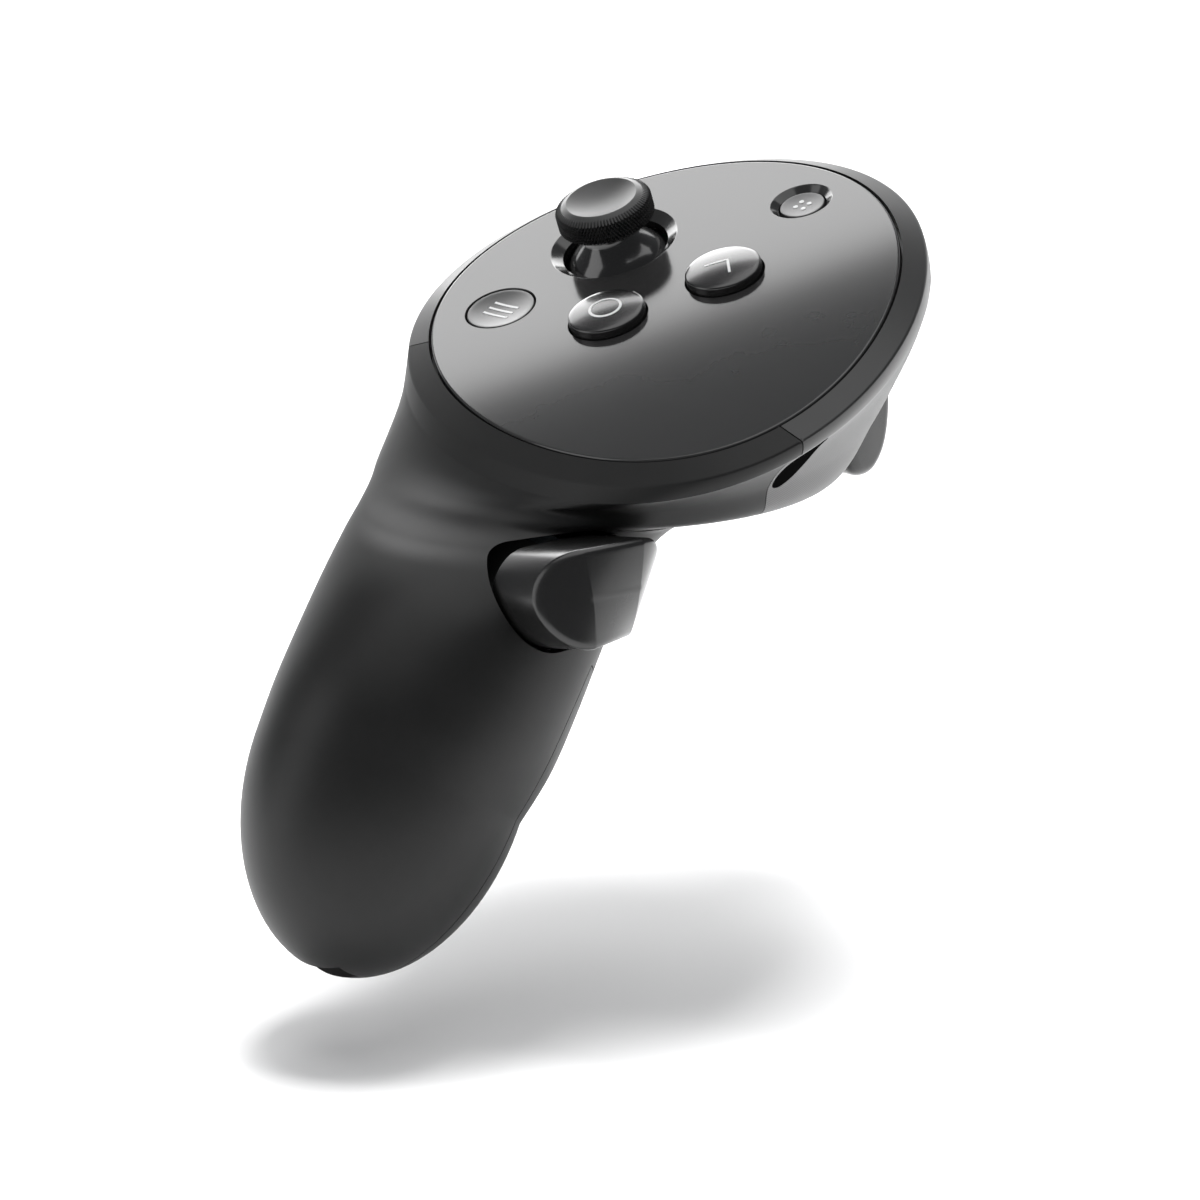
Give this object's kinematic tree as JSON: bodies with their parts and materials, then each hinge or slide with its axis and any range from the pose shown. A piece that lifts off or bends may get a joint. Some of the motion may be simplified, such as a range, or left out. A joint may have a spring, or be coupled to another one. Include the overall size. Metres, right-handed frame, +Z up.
{
  "type": "vr motion controller",
  "caption": "Left-hand ringless VR motion controller: round face plate with thumbstick and push buttons, index trigger, side grip button and hanging battery handle.",
  "frame": {"origin": "middle of the wrist-strap pin at the lower end of the handle", "axes": "+X along the strap pin to the user's right, +Y horizontally forwards, +Z up, with the face plate pitched 21 degrees nose up"},
  "size_m": [0.0694, 0.1043, 0.0806],
  "materials": {
    "plate_satin": "satin, very fine grain",
    "shell_textured": "matte with fine moulded hairlines",
    "shell_soft": "soft-touch matte",
    "window_gloss": "infrared-passing gloss",
    "inner_plastic": "moulded",
    "circuit_board": "solder mask",
    "silicone": "matte",
    "button_gloss": "semi-gloss",
    "button_satin": "satin",
    "dome_gloss": "gloss",
    "cap_rubber": "knurled rubber",
    "trigger_gloss": "semi-gloss",
    "steel": "bright",
    "cell_wrap": "shrink wrap"
  },
  "bodies": {
    "root": {"face_plate": "plate_satin", "front_shell": "shell_textured", "handle_shell": "shell_soft", "window_side": "window_gloss", "window_front": "window_gloss", "head_frame": "inner_plastic", "main_board": "circuit_board", "button_mat": "silicone", "tact_switches": "inner_plastic", "stick_housing": "inner_plastic", "stick_sensors": "inner_plastic", "click_switch": "inner_plastic", "stick_spring": "steel", "trigger_pin": "steel", "trigger_spring": "steel", "trigger_sensor": "circuit_board", "grip_guide": "inner_plastic", "grip_spring": "steel", "battery_tray": "inner_plastic", "battery_cell": "cell_wrap", "cell_spring": "steel", "cell_contact": "steel", "haptic_motor": "steel", "tracking_leds": "window_gloss", "head_screws": "steel", "tray_screws": "steel", "strap_pin": "steel"},
    "button_x": {"button_x": "button_gloss"},
    "button_y": {"button_y": "button_gloss"},
    "button_menu": {"button_menu": "button_satin"},
    "button_home": {"button_home": "button_satin"},
    "stick_yoke": {"stick_yoke": "steel"},
    "stick_shaft": {"stick_shaft": "steel"},
    "stick_arc": {"stick_arc": "steel"},
    "stick_top": {"stick_dome": "dome_gloss", "stick_cap": "cap_rubber"},
    "trigger": {"trigger": "trigger_gloss", "trigger_magnet": "steel"},
    "grip_button": {"grip_button": "trigger_gloss"},
    "battery_door": {"battery_door": "shell_soft"}
  },
  "joints": [
    {"name": "press_x", "type": "slide", "parent": "root", "child": "button_x", "axis": [0, 0.3584, -0.9336], "range_m": [0, 0.0008], "stiffness_N_per_m": 600, "deforming": ["button_mat"]},
    {"name": "press_y", "type": "slide", "parent": "root", "child": "button_y", "axis": [0, 0.3584, -0.9336], "range_m": [0, 0.0008], "stiffness_N_per_m": 600, "deforming": ["button_mat"]},
    {"name": "press_menu", "type": "slide", "parent": "root", "child": "button_menu", "axis": [0, 0.3584, -0.9336], "range_m": [0, 0.0005], "stiffness_N_per_m": 600, "deforming": ["button_mat"]},
    {"name": "press_home", "type": "slide", "parent": "root", "child": "button_home", "axis": [0, 0.3584, -0.9336], "range_m": [0, 0.0005], "stiffness_N_per_m": 600, "deforming": ["button_mat"]},
    {"name": "stick_tilt_x", "type": "hinge", "parent": "root", "child": "stick_yoke", "pos_m": [-0.0173, 0.07052, 0.06291], "axis": [1, 0, 0], "range_deg": [-15, 15], "stiffness_Nm_per_rad": 0.03, "deforming": ["stick_spring"]},
    {"name": "stick_tilt_y", "type": "hinge", "parent": "stick_yoke", "child": "stick_shaft", "pos_m": [-0.0173, 0.07052, 0.06291], "axis": [0, 0.9336, 0.3584], "range_deg": [-15, 15], "stiffness_Nm_per_rad": 0.03, "deforming": ["stick_spring"]},
    {"name": "stick_arc_turn", "type": "hinge", "parent": "root", "child": "stick_arc", "pos_m": [-0.0173, 0.07052, 0.06291], "axis": [0, 0.9336, 0.3584], "range_deg": [-15, 15]},
    {"name": "stick_click", "type": "slide", "parent": "stick_shaft", "child": "stick_top", "axis": [0, 0.3584, -0.9336], "range_m": [0, 0.0004], "stiffness_N_per_m": 900, "deforming": ["stick_spring"]},
    {"name": "trigger_pull", "type": "hinge", "parent": "root", "child": "trigger", "pos_m": [-0.00425, 0.08273, 0.06374], "axis": [-1, 0, 0], "range_deg": [0, 14], "stiffness_Nm_per_rad": 0.12, "deforming": ["trigger_spring"]},
    {"name": "grip_press", "type": "slide", "parent": "root", "child": "grip_button", "axis": [-0.9659, 0.1572, -0.2059], "range_m": [0, 0.0025], "stiffness_N_per_m": 500, "deforming": ["grip_spring"]},
    {"name": "door_slide", "type": "slide", "parent": "root", "child": "battery_door", "axis": [0, -0.6101, -0.7923], "range_m": [0, 0.05]}
  ],
  "couplings": [
    {"joint": "stick_arc_turn", "follows": "stick_tilt_y", "ratio": 1}
  ]
}
